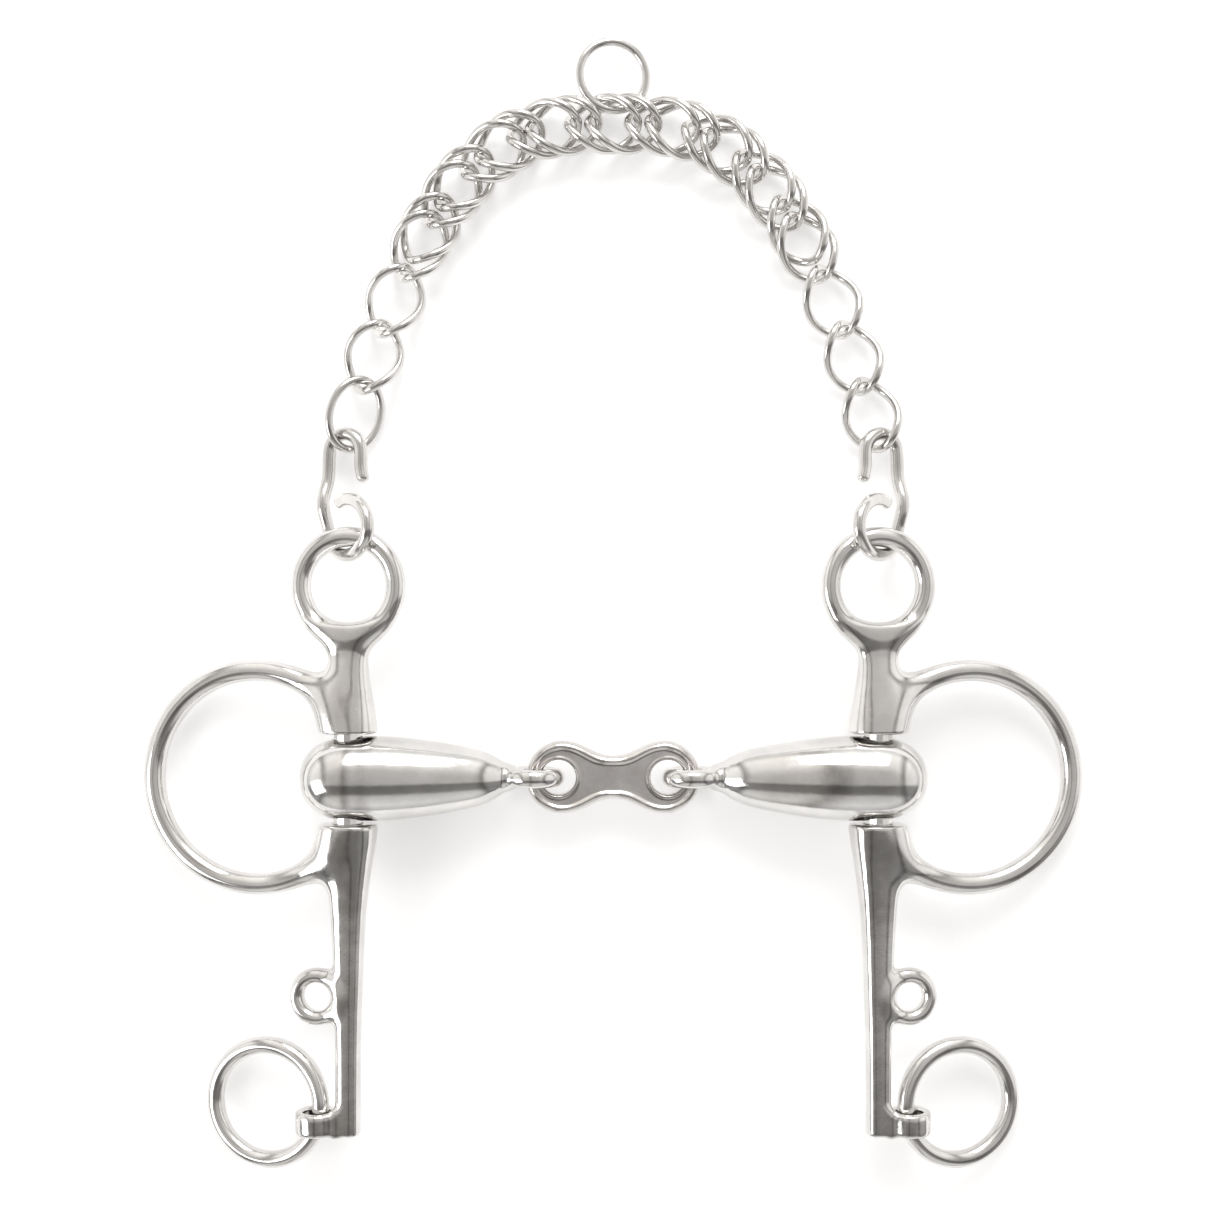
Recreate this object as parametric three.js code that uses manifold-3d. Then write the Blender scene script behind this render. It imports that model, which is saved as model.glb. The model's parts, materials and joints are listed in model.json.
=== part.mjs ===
// A Pelham curb bit lying flat: a jointed mouthpiece between two ring cheeks, with loose rein rings,
// curb hooks, a curb chain and its fly link. Millimetres, +Z up, +Y towards the chain.
import * as THREE from "three";
import { mergeVertices } from "three/addons/utils/BufferGeometryUtils.js";
import Module from "manifold-3d";

const wasm = await Module();
wasm.setup();

const GAP = 0.3; // between pieces that touch

const LOZENGE = { rimX: 20.85, holeX: 14.3, holeR: 4.5, lobeX: 13.5, lobeR: 9.4, waist: 6.35, thick: 5.4 };
const LOOP = { radius: 6.15, bar: 2.05, halfWidth: 2.4 };
const CANON = { arm: 48.1, buttR: 11.05 };
const PIN = { radius: 3.8, bore: 4.1, socket: 6, through: 20 };
const ARM = { start: 11.6, end: 39, width: 7.4, thick: 6 };
const EYE = { y: 50, radius: 12.75, wire: 2.65 };
const RING = { x: 25, radius: 27.95, wire: 2.83, halfSweep: 2.42 };
const SHANK = { start: -11.8, end: -92.5, width: 7.4, thick: 6 };
const LIP = { x: 8.3, y: -56.8, hole: 3.5, countersink: 5, outer: 7.5, thick: 4.4 };
const FOOT = { x: 8.3, y: -89.4, hole: 3.7, outer: 5.8, tall: 6 };
const REIN = { radius: 15, wire: 2.25, y: -85.3, inset: 0.9 };
const HOOK = { wire: 1.75, bend: 4.9, tilt: 0.42, slack: 1 };
const HOOK_LOOP = { x: 0.2, y: 65.2, halfX: 6.3, halfY: 7.2, rise: 7.6 };
const LINK = { a: 9.35, b: 6.95, wire: 1.12, twist: 0.87 };
const CHAIN = { pitch: 15.75, strand: 5.4, doubled: 4, singles: 3, slack: 0.7 };
const ARCH = { top: 172, drop: 80, halfSpan: 69 }; // the cubic arch that the chain lies along
const FLY = { radius: 9, wire: 1.15, lift: 12.6, tilt: 0.2 };

const LOZENGE_Z = 7;
const PIN_Z = CANON.buttR + 0.15;
const CHAIN_Z = 3.85;
const DROOP = Math.asin((PIN_Z - LOZENGE_Z) / CANON.arm);
const PIN_X = LOZENGE.rimX + CANON.arm * Math.cos(DROOP);
const CHEEK_TILT = 0.155; // lets the snaffle ring rest on the table
const REIN_TILT = 0.105; // what the rein ring hangs below its cheek

const steel = new THREE.MeshStandardMaterial({ color: 0xb9b6b1, roughness: 0.2, metalness: 1 });
const chainSteel = new THREE.MeshStandardMaterial({ color: 0xaeaba6, roughness: 0.28, metalness: 1 });

const root = new THREE.Group();

function solidOf(geometry) {
  const bare = new THREE.BufferGeometry().setAttribute("position", geometry.getAttribute("position"));
  if (geometry.index) bare.setIndex(geometry.index);
  const merged = mergeVertices(bare, 1e-3);
  const mesh = { numProp: 3, vertProperties: merged.attributes.position.array };
  return new wasm.Manifold(new wasm.Mesh({ ...mesh, triVerts: new Uint32Array(merged.index.array) }));
}

function geometryOf(solid) {
  const { vertProperties, triVerts } = solid.getMesh();
  return new THREE.BufferGeometry()
    .setAttribute("position", new THREE.BufferAttribute(vertProperties, 3))
    .setIndex(new THREE.BufferAttribute(triVerts, 1));
}

function joined(...geometries) {
  return geometryOf(geometries.map(solidOf).reduce((whole, piece) => whole.add(piece)));
}

function cut(geometry, ...cutters) {
  const left = cutters.map(solidOf).reduce((whole, piece) => whole.subtract(piece), solidOf(geometry));
  return geometryOf(left);
}

// A closed skin over rings of points that all have the same count. The ends are capped unless it
// closes on itself.
function skin(rings, closed) {
  const count = rings[0].length;
  const index = [];
  for (let i = 0; i < rings.length - (closed ? 0 : 1); i++) {
    const here = i * count;
    const next = ((i + 1) % rings.length) * count;
    for (let j = 0; j < count; j++) {
      const k = (j + 1) % count;
      index.push(here + j, here + k, next + k, here + j, next + k, next + j);
    }
  }
  const last = (rings.length - 1) * count;
  for (let j = 1; j < count - 1 && !closed; j++) {
    index.push(0, j + 1, j, last, last + j, last + j + 1);
  }
  const position = rings.flat().flatMap((p) => [p.x, p.y, p.z]);
  return new THREE.BufferGeometry()
    .setAttribute("position", new THREE.Float32BufferAttribute(position, 3))
    .setIndex(index);
}

// A round wire along points. A closed one keeps its section square to the middle of the loop.
function wire(points, radius, sides, closed) {
  const count = points.length;
  const middle = points.reduce((sum, p) => sum.clone().add(p)).divideScalar(count);
  let side = new THREE.Vector3(0, 0, 1);
  const rings = points.map((p, i) => {
    const before = points[closed ? (i + count - 1) % count : Math.max(i - 1, 0)];
    const after = points[closed ? (i + 1) % count : Math.min(i + 1, count - 1)];
    const along = after.clone().sub(before).normalize();
    side = closed ? p.clone().sub(middle) : side.clone();
    side.addScaledVector(along, -side.dot(along)).normalize();
    const other = along.clone().cross(side);
    return around(sides, (angle) => {
      const over = side.clone().multiplyScalar(radius * Math.cos(angle));
      return p.clone().add(over).addScaledVector(other, radius * Math.sin(angle));
    });
  });
  return skin(rings, closed);
}

// Values of a function at even angles, turned half a step so that a flat side faces up.
function around(steps, value) {
  return Array.from({ length: steps }, (_, i) => value(((i + 0.5) / steps) * 2 * Math.PI));
}

// A bar along Y through stations [y, half width, half thickness], with rounded-square sections.
function bar(stations, grow = 0) {
  const soft = (v) => Math.sign(v) * Math.abs(v) ** 0.75;
  const upwards = [...stations].sort((one, other) => one[0] - other[0]);
  const rings = upwards.map(([y, w, t]) =>
    around(12, (a) =>
      new THREE.Vector3((w + grow) * soft(Math.sin(a)), y, (t + grow) * soft(Math.cos(a))),
    ),
  );
  return skin(rings, false);
}

function hoop(radius, wireRadius, steps, sides, sweep = Math.PI) {
  const full = sweep === Math.PI;
  const angle = (i) => -sweep + (2 * sweep * i) / (full ? steps : steps - 1);
  const points = Array.from(
    { length: steps },
    (_, i) => new THREE.Vector3(radius * Math.cos(angle(i)), radius * Math.sin(angle(i)), 0),
  );
  return wire(points, wireRadius, sides, full);
}

function pinShape(radius, low, high) {
  return new THREE.CylinderGeometry(radius, radius, high - low, 14).translate(0, (low + high) / 2, 0);
}

function lozengeShape() {
  const { lobeX, lobeR, waist, thick, holeX, holeR } = LOZENGE;
  const shape = new THREE.Shape();
  const open = 2.3; // where each lobe's arc meets the waist, from its outward direction
  shape.absarc(lobeX, 0, lobeR, -open, open);
  const meetX = lobeX + lobeR * Math.cos(open);
  const meetY = lobeR * Math.sin(open);
  shape.quadraticCurveTo(0, 2 * waist - meetY, -meetX, meetY);
  shape.absarc(-lobeX, 0, lobeR, Math.PI - open, Math.PI + open);
  shape.quadraticCurveTo(0, meetY - 2 * waist, meetX, -meetY);
  for (const side of [-1, 1]) {
    shape.holes.push(new THREE.Path().absarc(side * holeX, 0, holeR, 0, 2 * Math.PI, true));
  }
  const bevel = 0.9;
  const body = new THREE.ExtrudeGeometry(shape, {
    depth: thick - 2 * bevel,
    bevelThickness: bevel,
    bevelSize: bevel,
    bevelOffset: -bevel,
    bevelSegments: 1,
    curveSegments: 12,
  });
  return body.translate(0, 0, bevel - thick / 2);
}

// The canon's outline as [distance inboard of the pin, radius], turned about its own axis.
function canonShape() {
  const outline = [
    [-12.6, 0], [-12.2, 3.8], [-10.9, 6.6], [-8, 8.9], [-3.5, 10.4], [2, 10.95], [7.5, CANON.buttR],
    [15, 10.6], [24, 9.4], [33.4, 7.6], [38, 5.7], [41, 3.6], [43, 2.9], [44.2, 2.4], [44.2, 0],
  ];
  const points = outline.map(([inboard, radius]) => new THREE.Vector2(radius, inboard));
  const barrel = new THREE.LatheGeometry(points, 18).rotateZ(Math.PI / 2);
  const loop = new THREE.TorusGeometry(LOOP.radius, LOOP.bar, 8, 18).rotateX(Math.PI / 2);
  loop.scale(1, LOOP.halfWidth / LOOP.bar, 1).translate(-CANON.arm, 0, 0);
  return cut(joined(barrel, loop), pinShape(PIN.bore, -PIN.through, PIN.through));
}

const armStations = [
  [ARM.start, ARM.width, ARM.thick], [16, 7.2, 5.6], [22, 6.2, 4.7], [30, 5.25, 3.6], [ARM.end, 5.4, 2.7],
];

function upperArmShape() {
  const eye = hoop(EYE.radius, EYE.wire, 30, 8).translate(0, EYE.y, 0);
  const whole = joined(bar(armStations), eye);
  return cut(whole, pinShape(PIN.bore, 0, ARM.start + PIN.socket));
}

const shankStations = [
  [SHANK.start, SHANK.width, SHANK.thick], [-16, 7.2, 5.6], [-24, 5.9, 4.7], [-36, 4.5, 3.8],
  [-54, 3.7, 3.3], [-70, 3.25, 3.1], [SHANK.end, 3.15, 3.1],
];

function shankShape() {
  const lipHalf = LIP.thick / 2;
  const lipOutline = [
    [LIP.hole, 0], [LIP.countersink, lipHalf], [LIP.outer - 0.7, lipHalf], [LIP.outer, lipHalf - 0.7],
    [LIP.outer, 0.7 - lipHalf], [LIP.outer - 0.7, -lipHalf], [LIP.countersink, -lipHalf], [LIP.hole, 0],
  ].reverse();
  const lipPoints = lipOutline.map(([r, z]) => new THREE.Vector2(r, z));
  const lip = new THREE.LatheGeometry(lipPoints, 18).rotateX(Math.PI / 2).translate(LIP.x, LIP.y, 0);
  const foot = new THREE.CylinderGeometry(FOOT.outer, FOOT.outer, FOOT.tall, 16);
  foot.translate(FOOT.x, FOOT.y, 0);
  const eye = pinShape(FOOT.hole, -99, -80).translate(FOOT.x, 0, 0);
  const lipHole = new THREE.CylinderGeometry(LIP.hole, LIP.hole, 20, 18).rotateX(Math.PI / 2);
  const whole = joined(bar(shankStations), lip, foot);
  const socket = pinShape(PIN.bore, SHANK.start - PIN.socket, 0);
  return cut(whole, eye, lipHole.translate(LIP.x, LIP.y, 0), socket);
}

// The snaffle ring runs into the arm and the shank, so it is cut back from both.
function snaffleRingShape() {
  const ring = hoop(RING.radius, RING.wire, 34, 8, RING.halfSweep).translate(RING.x, 0, 0);
  const wideArm = [[ARM.start - 2, ARM.width, ARM.thick], ...armStations.slice(1)];
  const wideShank = [[SHANK.start + 2, SHANK.width, SHANK.thick], ...shankStations.slice(1)];
  return cut(ring, bar(wideArm, GAP), bar(wideShank, GAP));
}

// The middle of the hook's wire: from its tucked-in end round the eye, up the stem, over the bend
// and down the bill.
function hookPath(end) {
  const { bend, tilt, slack, wire: thick } = HOOK;
  const { x: loopX, y: loopY, halfX, halfY, rise } = HOOK_LOOP;
  const points = [];
  for (let turn = 62; turn <= 362; turn += 20) {
    const a = THREE.MathUtils.degToRad(turn);
    const across = Math.cos(a);
    points.push(
      new THREE.Vector3(PIN_X + loopX + halfX * across, loopY + halfY * Math.sin(a), PIN_Z - rise * across),
    );
  }
  const centre = new THREE.Vector3(end.x, end.y + LINK.wire + thick + slack - bend, CHAIN_Z);
  const across = new THREE.Vector3(bend * Math.cos(tilt), 0, -bend * Math.sin(tilt));
  const stemTop = centre.clone().add(across);
  points.push(new THREE.Vector3(stemTop.x + 1.3, loopY + 6.6, PIN_Z - 6.9));
  points.push(new THREE.Vector3(stemTop.x + 0.3, loopY + 13, stemTop.z + 0.5));
  for (let turn = 0; turn <= 180; turn += 30) {
    const a = THREE.MathUtils.degToRad(turn);
    const over = new THREE.Vector3(0, bend * Math.sin(a), 0);
    points.push(centre.clone().addScaledVector(across, Math.cos(a)).add(over));
  }
  const bill = centre.clone().sub(across);
  points.push(bill.clone().add(new THREE.Vector3(-0.1, -4, 0.2)));
  points.push(bill.clone().add(new THREE.Vector3(-0.9, -8.2, 0.9)));
  return new THREE.CatmullRomCurve3(points, false, "centripetal");
}

// Where the chain's middle line is at a distance along it from the middle: a point and its heading.
function onArch(distance) {
  const { top, drop, halfSpan } = ARCH;
  const slope = (x) => (-3 * drop * x * Math.abs(x)) / halfSpan ** 3;
  const steps = 400;
  let x = 0;
  for (let i = 0; i < steps; i++) {
    x += distance / steps / Math.hypot(1, slope(x));
  }
  return { x, y: top - drop * Math.abs(x / halfSpan) ** 3, heading: Math.atan(slope(x)) };
}

// One link: an oval whose plane turns by the twist between its middle and its end.
function linkShape(twist, roll) {
  const points = around(20, (angle) => {
    const turn = twist * Math.cos(angle) + roll;
    const across = LINK.b * Math.sin(angle);
    return new THREE.Vector3(LINK.a * Math.cos(angle), across * Math.cos(turn), across * Math.sin(turn));
  });
  return wire(points, LINK.wire, 6, true);
}

function mesh(name, geometry, material = steel) {
  const made = new THREE.Mesh(geometry, material);
  made.name = name;
  return made;
}

function place(parent, child, x, y, z) {
  child.position.set(x, y, z);
  parent.add(child);
  return child;
}

function addSide(name, mirror) {
  const side = new THREE.Group();
  side.scale.x = mirror;
  root.add(side);
  const canon = mesh(`${name}_canon`, canonShape());
  canon.rotation.y = -DROOP;
  place(side, canon, PIN_X, 0, PIN_Z);

  const cheek = place(side, new THREE.Group(), PIN_X, 0, PIN_Z);
  cheek.rotation.y = CHEEK_TILT;
  cheek.add(mesh(`${name}_upper_arm`, upperArmShape()));
  cheek.add(mesh(`${name}_snaffle_ring`, snaffleRingShape()));
  cheek.add(mesh(`${name}_shank`, shankShape()));
  const reach = PIN.socket - GAP;
  cheek.add(mesh(`${name}_pivot_pin`, pinShape(PIN.radius, SHANK.start - reach, ARM.start + reach)));

  const ring = hoop(REIN.radius, REIN.wire, 30, 8).translate(REIN.radius - REIN.inset, 0, 0);
  const rein = mesh(`${name}_rein_ring`, ring);
  rein.rotation.y = REIN_TILT;
  place(cheek, rein, FOOT.x, REIN.y, 0);

  const hook = wire(hookPath(chainEnd()).getPoints(56), HOOK.wire, 8, false);
  side.add(mesh(`${name}_curb_hook`, hook));
}

// How far along the chain position k is from the middle. The mouthpiece folds in line with the slack
// between positions 1 and 2.
function along(k) {
  const single = k > CHAIN.doubled ? CHAIN.strand / 2 : 0;
  return k * CHAIN.pitch + single - (k > 1 ? CHAIN.slack : 0);
}

// The far end of the last link, where the hook holds it.
function chainEnd() {
  const at = onArch(along(CHAIN.doubled + CHAIN.singles));
  return { x: at.x + LINK.a * Math.cos(at.heading), y: at.y + LINK.a * Math.sin(at.heading) };
}

function addLink(name, distance, twist = LINK.twist, roll = 0) {
  const at = onArch(distance);
  const link = mesh(name, linkShape(twist, roll), chainSteel);
  link.rotation.z = at.heading;
  place(root, link, at.x, at.y, CHAIN_Z);
}

function addChain() {
  const half = CHAIN.strand / 2;
  addLink("centre_link_left", -half);
  addLink("centre_link_right", half);
  for (const [name, side] of [["left", -1], ["right", 1]]) {
    for (let k = 1; k <= CHAIN.doubled; k++) {
      addLink(`${name}_inner_link_${k}`, side * (along(k) - half));
      addLink(`${name}_outer_link_${k}`, side * (along(k) + half));
    }
    for (let k = 1; k <= CHAIN.singles; k++) {
      const plain = side < 0 && k === CHAIN.singles; // the left end link is a plain flat oval
      const distance = side * along(CHAIN.doubled + k);
      addLink(`${name}_end_link_${k}`, distance, plain ? 0 : LINK.twist, plain ? 0.5 : 0);
    }
  }
  const fly = mesh("fly_link", hoop(FLY.radius, FLY.wire, 24, 6), chainSteel);
  fly.rotation.y = FLY.tilt;
  place(root, fly, 0, ARCH.top + FLY.lift, CHAIN_Z);
}

place(root, mesh("lozenge", lozengeShape()), 0, 0, LOZENGE_Z);
addSide("right", 1);
addSide("left", -1);
addChain();

// The origin is the middle of the bottom of the whole object's box.
root.updateMatrixWorld(true);
const box = new THREE.Box3().setFromObject(root, true);
root.position.set(-(box.min.x + box.max.x) / 2, -(box.min.y + box.max.y) / 2, -box.min.z);

export default root;
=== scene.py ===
"""A polished steel Pelham bit lying on a pale floor, seen from straight above.

Lengths in the shape functions are millimetres; meshes are made in metres.
Each cast piece is a smooth distance field in its own frame, and each wire is a tube along a curve.
"""
import json
import math

import bpy
import numpy as np
import openvdb
from mathutils import Matrix, Vector


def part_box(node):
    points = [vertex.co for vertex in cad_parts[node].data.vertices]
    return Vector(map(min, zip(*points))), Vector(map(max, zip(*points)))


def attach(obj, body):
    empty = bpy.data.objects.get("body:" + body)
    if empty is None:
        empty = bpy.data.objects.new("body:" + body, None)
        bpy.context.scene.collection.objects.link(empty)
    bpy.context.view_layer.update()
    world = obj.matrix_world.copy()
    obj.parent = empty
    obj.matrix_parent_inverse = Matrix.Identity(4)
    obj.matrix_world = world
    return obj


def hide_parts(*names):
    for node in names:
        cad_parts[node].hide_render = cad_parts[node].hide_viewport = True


MM = 0.001
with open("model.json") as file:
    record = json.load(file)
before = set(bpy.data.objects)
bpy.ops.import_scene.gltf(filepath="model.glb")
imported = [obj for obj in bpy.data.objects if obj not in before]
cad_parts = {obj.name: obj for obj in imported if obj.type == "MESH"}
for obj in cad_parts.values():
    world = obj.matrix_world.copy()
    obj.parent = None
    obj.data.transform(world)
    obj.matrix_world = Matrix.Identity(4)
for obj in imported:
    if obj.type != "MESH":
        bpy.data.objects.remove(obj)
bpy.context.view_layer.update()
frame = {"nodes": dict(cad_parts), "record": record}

CANON_ARM = 48.1  # from the lozenge's rim to the pivot pin
ARM_START, ARM_END = 11.6, 39
EYE_Y, EYE_RADIUS, EYE_WIRE = 50, 12.75, 2.65
RING_X, RING_RADIUS, RING_WIRE = 25, 27.95, 2.83
SHANK_START, SHANK_END = -11.8, -92.5
SIDE_X = 8.3  # the lip-strap loop and the foot's eye, out from the shank's middle
LIP_Y, LIP_RADIUS, LIP_WIRE, LIP_HOLE = -56.8, 5.5, 2.05, 3.5
FOOT_Y, FOOT_RADIUS, FOOT_HALF_HEIGHT, FOOT_HOLE = -89.4, 5.75, 3, 3.7
SEAT_X, SEAT_Y = 8.6, 11.65  # the gap between the arm and the shank that the canon's butt turns in
PIN_BORE, PIN_SOCKET_END = 3.95, 17.6
LOOP_RADIUS, LOOP_WIRE, LOOP_HALF_WIDTH = 6.15, 2.05, 2.4
BUTT_LENGTH, BUTT_RADIUS, BUTT_POWER = 14.6, 10.95, 2.3
LOBE_X, LOBE_RADIUS, WAIST = 13.5, 9.4, 5.6
HOLE_X, HOLE_RADIUS = 14.3, 4.5
PLATE_HALF, DISH_DEPTH = 2.7, 0.75
REIN_RADIUS, REIN_WIRE = 15, 2.25
HOOK_WIRE = 1.75
HOOK_REACH = 3.9  # from the middle of the last link's end wire to the middle of the hook's bend
LINK_A, LINK_B, LINK_WIRE, LINK_TWIST = 9.35, 6.95, 1.12, 0.87
FLY_RADIUS, FLY_WIRE = 9, 1.15
PLAIN_LINK = "left_end_link_3"
LEFT = Matrix.Scale(-1, 4, (1, 0, 0))


# --- places, from the frame ---

def middle(node):
    low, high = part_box(node)
    return (low + high) / 2


def points_of(node):
    return np.array([v.co for v in frame["nodes"][node].data.vertices])


def lying(node):
    """A node's own frame: its middle, with x along its longest way and z across its flattest."""
    points = points_of(node)
    centre = points.mean(0)
    _, _, axes = np.linalg.svd(points - centre, full_matrices=False)
    x, y = Vector(axes[0]), Vector(axes[1])
    z = x.cross(y)
    turn = Matrix((x, y, z)).transposed().to_4x4()
    return Matrix.Translation(Vector(centre)) @ turn


AXIS_Y = middle("lozenge").y
PIN = Vector((middle("right_pivot_pin").x, AXIS_Y, middle("right_pivot_pin").z))
RING_PLANE = lying("right_snaffle_ring").col[2].to_3d()
CHEEK_TILT = math.atan(RING_PLANE.x / RING_PLANE.z)
DROOP = math.asin((PIN.z - middle("lozenge").z) / (CANON_ARM * MM))
CHEEK_FRAME = Matrix.Translation(PIN) @ Matrix.Rotation(CHEEK_TILT, 4, "Y")
CANON_FRAME = Matrix.Translation(PIN) @ Matrix.Rotation(-DROOP, 4, "Y")


# --- meshes ---

def new_piece(name, vertices, faces, place, material, mirrored=False):
    """A mesh piece from points in mm, put in place, and reflected for the left side."""
    move = (LEFT if mirrored else Matrix.Identity(4)) @ place @ Matrix.Scale(MM, 4)
    mesh = bpy.data.meshes.new(name)
    mesh.from_pydata([tuple(v) for v in vertices], [], [tuple(f) for f in faces])
    mesh.transform(move)
    if mirrored:
        mesh.flip_normals()
    mesh.shade_smooth()
    mesh.materials.append(material)
    piece = bpy.data.objects.new(name, mesh)
    bpy.context.scene.collection.objects.link(piece)
    return piece


def skin(rings, closed):
    """Quads between rings of points, with a fan over each end unless it closes on itself."""
    count = len(rings[0])
    vertices = [p for ring in rings for p in ring]
    faces = []
    for i in range(len(rings) if closed else len(rings) - 1):
        here, there = i * count, (i + 1) % len(rings) * count
        for j in range(count):
            k = (j + 1) % count
            faces.append((here + j, here + k, there + k, there + j))
    if not closed:
        last = (len(rings) - 1) * count
        faces.append(tuple(range(count))[::-1])
        faces.append(tuple(range(last, last + count)))
    return vertices, faces


def wire(path, radius, sides=16, closed=True):
    """A round wire along points. radius is a number, or a function of the share of the way along."""
    path = [Vector(p) for p in path]
    count = len(path)
    centre = sum(path, Vector()) / count
    side = Vector((0.3, 0.2, 1))
    rings = []
    for i, p in enumerate(path):
        after = path[(i + 1) % count] if closed else path[min(i + 1, count - 1)]
        before = path[i - 1] if closed else path[max(i - 1, 0)]
        along = (after - before).normalized()
        side = p - centre if closed else side
        side = (side - along * side.dot(along)).normalized()
        other = along.cross(side)
        r = radius(i / (count - 1)) if callable(radius) else radius
        turns = (2 * math.pi * j / sides for j in range(sides))
        rings.append([p + (side * math.cos(a) + other * math.sin(a)) * r for a in turns])
    return skin(rings, closed)


def surface(field, low, high, step):
    """The zero surface of a distance field inside a box, with its points moved onto the field."""
    axes = [np.arange(a, b + step, step) for a, b in zip(low, high)]
    values = field(*np.meshgrid(*axes, indexing="ij"))
    grid = openvdb.FloatGrid()
    grid.background = 3 * step
    grid.copyFromArray(np.clip(values, -3 * step, 3 * step).astype(np.float32))
    points, triangles, quads = grid.convertToPolygons(isovalue=0.0, adaptivity=0.0)
    points = points.astype(float) * step + np.array(low)
    nudge = 0.02
    for _ in range(3):
        here = field(*points.T)
        slope = np.stack([field(*(points + nudge * e).T) - here for e in np.eye(3)], 1) / nudge
        points -= slope * (here / np.maximum((slope**2).sum(1), 0.05))[:, None]
    faces = [tuple(f[::-1]) for f in quads] + [tuple(f[::-1]) for f in triangles]
    return points, faces


# --- distance fields ---

def blend(a, b, soft):
    """The union of two fields, with a fillet."""
    share = np.clip(0.5 + 0.5 * (b - a) / soft, 0, 1)
    return b * (1 - share) + a * share - soft * share * (1 - share)


def carve(a, b, soft):
    """Field a without field b, with a rounded edge."""
    return -blend(-a, b, soft)


def hoop(x, y, z, radius, wire_radius, flat=1.0):
    """A ring round z. flat under 1 makes its section taller along z."""
    return np.hypot(np.hypot(x, y) - radius, z * flat) - wire_radius


def smooth_table(stations):
    """A table of the stations joined by a smooth curve: positions, then a row for each value."""
    stations = np.array(sorted(stations), float)
    padded = np.vstack([2 * stations[0] - stations[1], stations, 2 * stations[-1] - stations[-2]])
    rows = []
    for a, b, c, d in zip(padded, padded[1:], padded[2:], padded[3:]):
        for t in np.linspace(0, 1, 16, endpoint=False):
            bend = 2 * a - 5 * b + 4 * c - d + t * (3 * (b - c) + d - a)
            rows.append(b + 0.5 * t * (c - a + t * bend))
    rows.append(stations[-1])
    return np.array(rows).T


def bar(x, y, z, table, low, high, square=2.7):
    """A bar along y whose half width, half thickness and middle follow a table."""
    wide, thick = np.interp(y, table[0], table[1]), np.interp(y, table[0], table[2])
    round_part = ((np.abs(x) / wide) ** square + (np.abs(z) / thick) ** square) ** (1 / square)
    across = (round_part - 1) * np.minimum(wide, thick)
    return -blend(-across, -np.maximum(low - y, y - high), 1.0)


# Each station is a position, a half width and a half thickness.
ARM = smooth_table([
    (ARM_START, 7.4, 6), (16, 7.15, 5.6), (22, 6.1, 4.7),
    (28, 5.25, 3.9), (33, 5.3, 3.2), (38, 6.4, 2.7),
])
SHANK = smooth_table([
    (SHANK_END, 3.15, 3.1), (-70, 3.25, 3.1), (-54, 3.7, 3.3), (-36, 4.5, 3.8),
    (-24, 5.9, 4.7), (-16, 7.2, 5.6), (SHANK_START, 7.4, 6),
])


def cheek_field(x, y, z):
    """One cheek, with the pin's middle at the origin: arm and eye, shank, loops and snaffle ring."""
    arm = bar(x, y, z, ARM, ARM_START, ARM_END)
    whole = blend(arm, hoop(x, y - EYE_Y, z, EYE_RADIUS, EYE_WIRE), 4.5)
    shank = bar(x, y, z, SHANK, SHANK_END, SHANK_START)
    lip = hoop(x - SIDE_X, y - LIP_Y, z, LIP_RADIUS, LIP_WIRE, 0.93)
    shank = blend(shank, lip, 3.0)
    foot_round = np.hypot(x - SIDE_X, z) - FOOT_RADIUS
    foot = -blend(-foot_round, -(np.abs(y - FOOT_Y) - FOOT_HALF_HEIGHT), 1.2)
    shank = blend(shank, foot, 3.0)
    whole = np.minimum(whole, shank)
    thicker = 0.6 * np.exp(-((x - 6) / 7) ** 2)  # where the ring leaves the arm and the shank
    ring = hoop(x - RING_X, y, z, RING_RADIUS, RING_WIRE + thicker)
    whole = blend(whole, ring, 6.0)
    outside = 4  # keeps a hole's field from cutting beyond the hole's own stretch
    seat = np.maximum(x - SEAT_X, np.abs(y) - SEAT_Y)
    whole = carve(whole, seat, 0.8)
    socket = np.hypot(x, z) - PIN_BORE + outside * (np.abs(y) > PIN_SOCKET_END)
    whole = carve(whole, socket, 0.3)
    foot_eye = np.hypot(x - SIDE_X, z) - FOOT_HOLE + outside * (y > -80)
    whole = carve(whole, foot_eye, 0.8)
    countersink = 0.8 * np.clip(np.abs(z) - 1.0, 0, None)
    return carve(whole, np.hypot(x - SIDE_X, y - LIP_Y) - LIP_HOLE - countersink, 0.4)


# Distance inboard of the pin, and radius.
CANON = smooth_table([
    (2, BUTT_RADIUS), (7.5, 11.05), (15, 10.6), (24, 9.4), (33.4, 7.5),
    (38, 5.6), (41, 3.7), (44, 2.6), (48, 2.2),
])


def canon_field(x, y, z):
    """One canon, with the pin's middle at the origin and its loop inboard, at -x."""
    inboard, across = -x, np.hypot(y, z)
    along_butt = np.clip(2 - inboard, 0, None) / BUTT_LENGTH
    butt = along_butt**BUTT_POWER + (across / BUTT_RADIUS) ** BUTT_POWER
    butt = (butt ** (1 / BUTT_POWER) - 1) * BUTT_RADIUS
    slope = np.gradient(CANON[1], CANON[0])
    taper = across - np.interp(inboard, CANON[0], CANON[1])
    taper = taper / np.sqrt(1 + np.interp(inboard, CANON[0], slope) ** 2)
    barrel = np.where(inboard < 2, butt, taper)
    barrel = np.maximum(barrel, inboard - 42.5)
    loop = hoop(x + CANON_ARM, z, y, LOOP_RADIUS, LOOP_WIRE, LOOP_WIRE / LOOP_HALF_WIDTH)
    whole = blend(barrel, loop, 2.6)
    throat = np.hypot(x + CANON_ARM, z) - 4.05
    whole = carve(whole, np.maximum(throat, 30 - inboard), 0.9)
    return carve(whole, np.hypot(x, z) - 4.1, 0.5)


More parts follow.
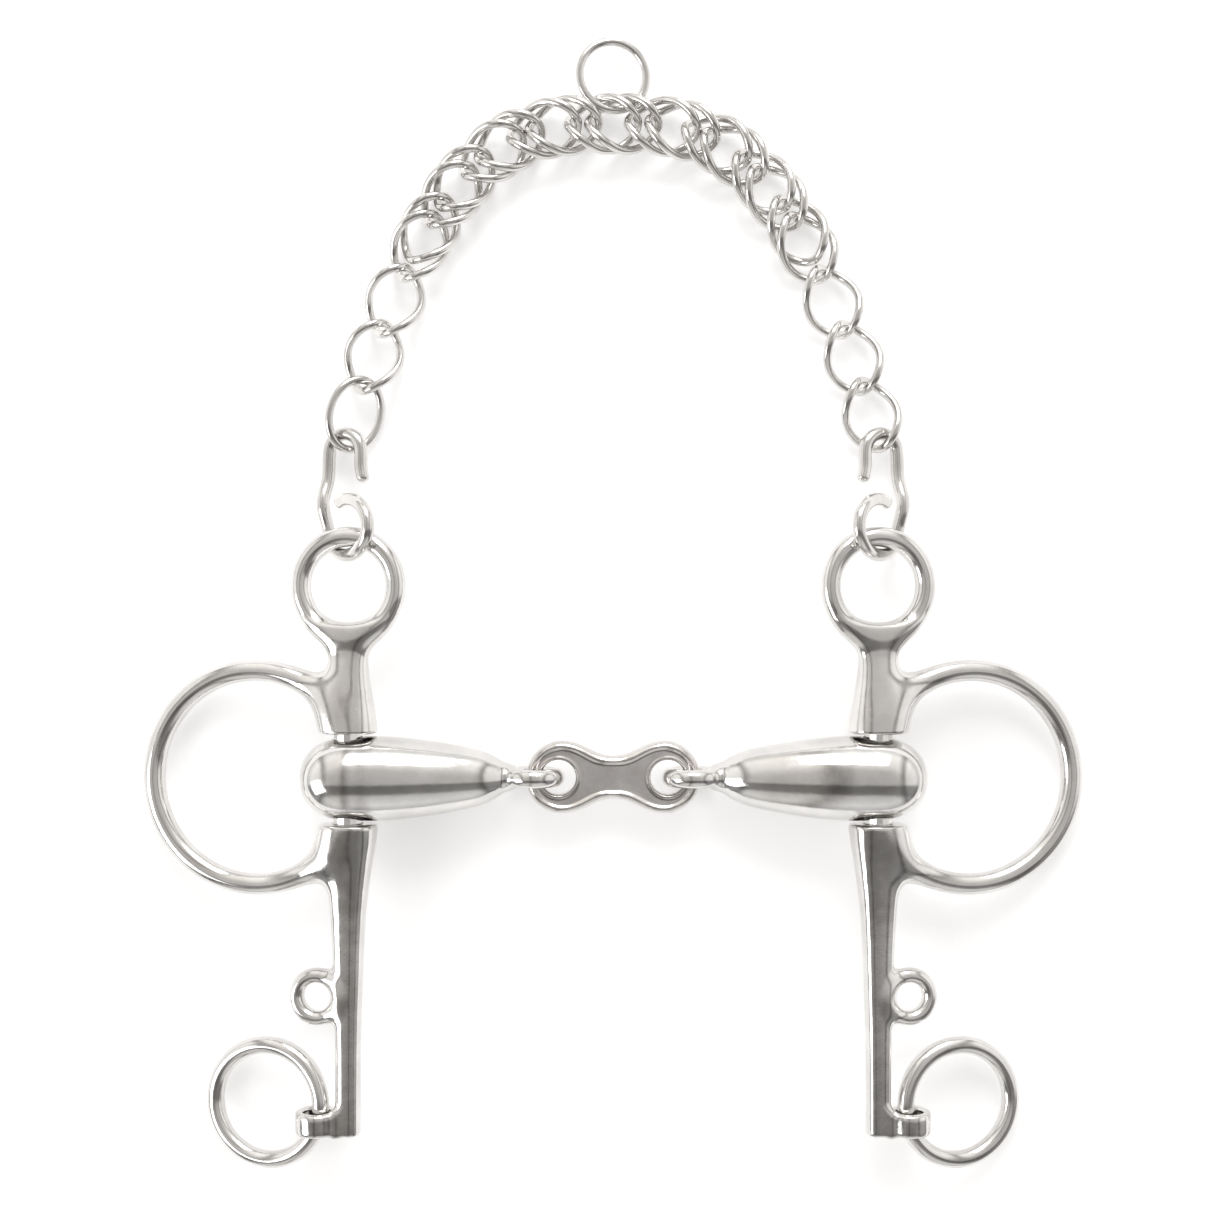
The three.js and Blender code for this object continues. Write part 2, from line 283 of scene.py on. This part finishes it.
def lozenge_field(x, y, z):
    """A flat dog bone with a dished web and a rounded rim, and a hole in each lobe."""
    side = np.abs(x)
    lobe = np.hypot(side - LOBE_X, y) - LOBE_RADIUS
    waist = np.maximum(np.abs(y) - WAIST, side - 12)
    outline = blend(lobe, waist, 5.5)
    hole = np.hypot(side - HOLE_X, y) - HOLE_RADIUS
    edge = np.clip((np.minimum(-outline, hole + 1.0) - 1.2) / 1.3, 0, 1)
    dish = DISH_DEPTH * edge**2 * (3 - 2 * edge)
    plate = np.abs(z) - (PLATE_HALF - dish)
    whole = -blend(-outline, -plate, 2.6)
    return carve(whole, hole, 1.8)


# --- wires ---

def oval(twist, steps=64):
    """The middle of a chain link's wire: an oval turned by the twist between its middle and its end."""
    path = []
    for i in range(steps):
        a = 2 * math.pi * i / steps
        turn, across = twist * math.cos(a), LINK_B * math.sin(a)
        path.append((LINK_A * math.cos(a), across * math.cos(turn), across * math.sin(turn)))
    return path


def circle(radius, steps=96):
    turns = (2 * math.pi * i / steps for i in range(steps))
    return [(radius * math.cos(a), radius * math.sin(a), 0) for a in turns]


def flowing(points, steps=8):
    """A smooth curve through points."""
    points = [Vector(p) for p in points]
    ends = [2 * points[0] - points[1], *points, 2 * points[-1] - points[-2]]
    path = []
    for a, b, c, d in zip(ends, ends[1:], ends[2:], ends[3:]):
        for i in range(steps):
            t = i / steps
            bend = 2 * a - 5 * b + 4 * c - d + t * (3 * (b - c) + d - a)
            path.append(b + 0.5 * t * (c - a + t * bend))
    return [*path, points[-1]]


def hook_path():
    """The middle of the hook's wire: from its tucked-in end round the eye, up the stem, over the
    bend and down the bill, with the pin's middle at the origin."""
    link = lying("right_end_link_3")
    along = link.col[0].to_3d()
    chain_end = (link.translation - PIN) / MM + along * LINK_A * (1 if along.y < 0 else -1)
    loop_x, loop_y, half_x, half_y, rise, bend, tilt = 0.2, 65.2, 6.3, 7.2, 7.6, 4.9, 0.42
    points = []
    for turn in range(62, 363, 20):
        a = math.radians(turn)
        across = math.cos(a)
        up = loop_y + half_y * math.sin(a)
        points.append(Vector((loop_x + half_x * across, up, -rise * across)))
    centre = chain_end + Vector((0, HOOK_REACH - bend, 0))
    across = Vector((bend * math.cos(tilt), 0, -bend * math.sin(tilt)))
    stem = centre + across
    points.append(Vector((stem.x + 1.3, loop_y + 6.6, -6.9)))
    points.append(Vector((stem.x + 0.3, loop_y + 13, stem.z + 0.5)))
    for turn in range(0, 181, 30):
        a = math.radians(turn)
        points.append(centre + across * math.cos(a) + Vector((0, bend * math.sin(a), 0)))
    bill = centre - across
    points.append(bill + Vector((-0.1, -4, 0.2)))
    points.append(bill + Vector((-0.9, -8.2, 0.9)))
    return flowing(points)


def hook_thickness(share):
    """The hook wire's radius, rounded off over a short stretch at each end."""
    def rounded(reach):
        return math.sqrt(max(0.05, 1 - (1 - min(1, reach)) ** 2))

    return HOOK_WIRE * rounded(share / 0.01) * rounded((1 - share) / 0.012)


# --- materials ---

def node_maker(material):
    material.use_nodes = True
    nodes, links = material.node_tree.nodes, material.node_tree.links
    nodes.clear()

    def make(kind, **inputs):
        node = nodes.new(kind)
        for name, value in inputs.items():
            socket = node.inputs[name.replace("_", " ")]
            if isinstance(value, bpy.types.NodeSocket):
                links.new(value, socket)
            else:
                socket.default_value = value
        return node

    return make


def ramp(make, source, *stops):
    node = make("ShaderNodeValToRGB", Fac=source)
    elements = node.color_ramp.elements
    while len(elements) < len(stops):
        elements.new(0.5)
    for element, (place, colour) in zip(elements, stops):
        element.position = place
        element.color = (*colour, 1)
    return node.outputs["Color"]


def polished_steel(name, dark, light, smooth, rough, pit_scale, pit_depth):
    """Cast and polished steel: cloudy colour, fine pits, faint scratches and uneven gloss."""
    material = bpy.data.materials.new(name)
    make = node_maker(material)
    where = make("ShaderNodeTexCoord").outputs["Object"]
    clouds = make("ShaderNodeTexNoise", Vector=where, Scale=95.0, Detail=5.0, Roughness=0.6)
    colour = ramp(make, clouds.outputs["Fac"], (0.32, dark), (0.68, light))
    stretched = make("ShaderNodeMapping", Vector=where, Scale=(4.0, 1.0, 2.5), Rotation=(0.2, 0.1, 0.5))
    scratches = make("ShaderNodeTexNoise", Vector=stretched.outputs[0], Scale=900.0, Detail=3.0)
    polish = make("ShaderNodeTexNoise", Vector=where, Scale=320.0, Detail=4.0, Roughness=0.65)
    gloss = make("ShaderNodeMapRange", Value=polish.outputs["Fac"], From_Min=0.35, From_Max=0.7)
    gloss.inputs["To Min"].default_value = smooth
    gloss.inputs["To Max"].default_value = rough
    pits = make("ShaderNodeTexNoise", Vector=where, Scale=pit_scale, Detail=3.0, Roughness=0.55)
    waves = make("ShaderNodeTexNoise", Vector=where, Scale=160.0, Detail=1.0)
    first = make("ShaderNodeBump", Strength=0.35, Distance=0.00009, Height=waves.outputs["Fac"])
    second = make("ShaderNodeBump", Strength=0.5, Distance=pit_depth, Height=pits.outputs["Fac"])
    third = make("ShaderNodeBump", Strength=0.25, Distance=0.000006, Height=scratches.outputs["Fac"])
    make_link = material.node_tree.links.new
    make_link(first.outputs[0], second.inputs["Normal"])
    make_link(second.outputs[0], third.inputs["Normal"])
    shader = make("ShaderNodeBsdfPrincipled", Base_Color=colour, Roughness=gloss.outputs[0])
    shader.inputs["Metallic"].default_value = 1.0
    make_link(third.outputs[0], shader.inputs["Normal"])
    make("ShaderNodeOutputMaterial", Surface=shader.outputs[0])
    return material


CAST = polished_steel(
    "cast_steel", (0.66, 0.645, 0.63), (0.78, 0.77, 0.755), 0.09, 0.2, 1500.0, 0.000018,
)
MOUTH = polished_steel(
    "mouthpiece_steel", (0.64, 0.63, 0.615), (0.77, 0.76, 0.745), 0.08, 0.19, 1300.0, 0.000015,
)
PLATE = polished_steel(
    "lozenge_steel", (0.60, 0.575, 0.555), (0.72, 0.70, 0.68), 0.12, 0.26, 1700.0, 0.00003,
)
WIRE = polished_steel(
    "wire_steel", (0.60, 0.585, 0.565), (0.76, 0.745, 0.73), 0.1, 0.24, 2200.0, 0.000012,
)


# --- the object ---

def finish_piece(piece, body, slot, *nodes):
    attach(piece, body)
    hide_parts(*nodes)


def add_sides():
    cheek = surface(cheek_field, (-17, -95, -7.5), (57, 67.5, 7.5), 0.5)
    canon = surface(canon_field, (-58, -12.5, -12.5), (14.5, 12.5, 12.5), 0.5)
    rein = wire(circle(REIN_RADIUS), REIN_WIRE)
    hook = wire(hook_path(), hook_thickness, 18, closed=False)
    for side, mirrored in (("right", False), ("left", True)):
        piece = new_piece(f"{side}_cheek_casting", *cheek, CHEEK_FRAME, CAST, mirrored)
        nodes = [f"{side}_{part}" for part in ("upper_arm", "snaffle_ring", "shank")]
        finish_piece(piece, f"{side}_cheek", "steel", *nodes)
        piece = new_piece(f"{side}_mouthpiece_canon", *canon, CANON_FRAME, MOUTH, mirrored)
        finish_piece(piece, f"{side}_canon", "steel", f"{side}_canon")
        piece = new_piece(f"{side}_loose_rein_ring", *rein, lying(f"{side}_rein_ring"), CAST)
        finish_piece(piece, f"{side}_rein_ring", "steel", f"{side}_rein_ring")
        piece = new_piece(f"{side}_wire_hook", *hook, Matrix.Translation(PIN), WIRE, mirrored)
        finish_piece(piece, f"{side}_curb_hook", "steel", f"{side}_curb_hook")
        pin_materials = frame["nodes"][f"{side}_pivot_pin"].data.materials
        pin_materials.clear()
        pin_materials.append(MOUTH)


def add_middle():
    plate = surface(lozenge_field, (-24, -11, -4), (24, 11, 4), 0.34)
    piece = new_piece("lozenge_plate", *plate, Matrix.Translation(middle("lozenge")), PLATE)
    finish_piece(piece, "lozenge", "steel", "lozenge")


def add_chain():
    for body, nodes in frame["record"]["behaviour"]["bodies"].items():
        for node in nodes:
            if "link" not in node:
                continue
            if node == "fly_link":
                path, radius = circle(FLY_RADIUS), FLY_WIRE
            else:
                path, radius = oval(0 if node == PLAIN_LINK else LINK_TWIST), LINK_WIRE
            piece = new_piece(f"{node}_wire", *wire(path, radius, 14), lying(node), WIRE)
            finish_piece(piece, body, "chain_steel", node)


# --- the studio ---

def add_floor():
    mesh = bpy.data.meshes.new("floor")
    half = 3.0
    corners = [(-half, -half, 0), (half, -half, 0), (half, half, 0), (-half, half, 0)]
    mesh.from_pydata(corners, [], [(0, 1, 2, 3)])
    floor = bpy.data.objects.new("floor", mesh)
    bpy.context.scene.collection.objects.link(floor)
    material = bpy.data.materials.new("pale_floor")
    make = node_maker(material)
    shader = make("ShaderNodeBsdfPrincipled", Base_Color=(0.9, 0.9, 0.9, 1), Roughness=0.9)
    shader.inputs["Specular IOR Level"].default_value = 0.0
    shader.inputs["Emission Color"].default_value = (1, 1, 1, 1)
    shader.inputs["Emission Strength"].default_value = 0.35
    make("ShaderNodeOutputMaterial", Surface=shader.outputs[0])
    mesh.materials.append(material)


def add_room():
    """A white tent: dark low on the side away from the chain, and in thin strips at either side."""
    world = bpy.data.worlds.new("studio")
    bpy.context.scene.world = world
    make = node_maker(world)
    ways = make("ShaderNodeSeparateXYZ", Vector=make("ShaderNodeTexCoord").outputs["Generated"])

    def across(axis):
        way = make("ShaderNodeMapRange", Value=ways.outputs[axis], From_Min=-1.0, From_Max=1.0)
        return way.outputs[0]

    def times(one, other):
        product = make("ShaderNodeVectorMath", Vector=one)
        product.operation = "MULTIPLY"
        world.node_tree.links.new(other, product.inputs[1])
        return product.outputs[0]

    white = (1, 1, 1)
    height = ramp(
        make, ways.outputs["Z"],
        (0.0, (0.7, 0.7, 0.7)), (0.3, (1.1, 1.09, 1.08)), (0.72, (0.9, 0.885, 0.87)),
        (0.9, (0.6, 0.585, 0.575)), (1.0, (0.56, 0.55, 0.545)),
    )
    away = ramp(
        make, across("Y"),
        (0.0, (0.9, 0.9, 0.9)), (0.14, (0.75, 0.75, 0.75)), (0.2, (0.3, 0.3, 0.3)),
        (0.36, (0.36, 0.355, 0.35)), (0.41, white), (0.8, (1.25, 1.24, 1.22)),
    )
    strips = ramp(
        make, across("X"),
        (0.12, white), (0.17, (0.34, 0.335, 0.33)), (0.24, white), (0.38, (1, 0.985, 0.96)),
        (0.42, (0.45, 0.44, 0.43)), (0.49, white), (0.76, white), (0.83, (0.34, 0.335, 0.33)),
        (0.88, white),
    )
    shaded = times(times(height, away), strips)
    light = make("ShaderNodeBackground", Color=shaded, Strength=0.95)
    make("ShaderNodeOutputWorld", Surface=light.outputs[0])


def add_light(name, place, size, power):
    data = bpy.data.lights.new(name, "AREA")
    data.shape, data.size, data.energy = "SQUARE", size, power
    lamp = bpy.data.objects.new(name, data)
    lamp.location = place
    lamp.rotation_euler = (-Vector(place)).to_track_quat("-Z", "Y").to_euler()
    bpy.context.scene.collection.objects.link(lamp)


def add_camera():
    data = bpy.data.cameras.new("camera")
    data.lens, data.sensor_width = 50, 36
    camera = bpy.data.objects.new("camera", data)
    seen = 315 * MM  # how much of the floor the picture spans
    camera.location = (-1.6 * MM, AXIS_Y + 44.5 * MM, PIN.z + seen * data.lens / data.sensor_width)
    bpy.context.scene.collection.objects.link(camera)
    bpy.context.scene.camera = camera


add_sides()
add_middle()
add_chain()
add_floor()
add_room()
add_light("key", (0.1, 1.1, 0.7), 0.7, 9)
add_light("fill", (-1.0, -0.4, 0.6), 0.6, 4)
add_camera()
bpy.context.scene.view_settings.view_transform = "Standard"
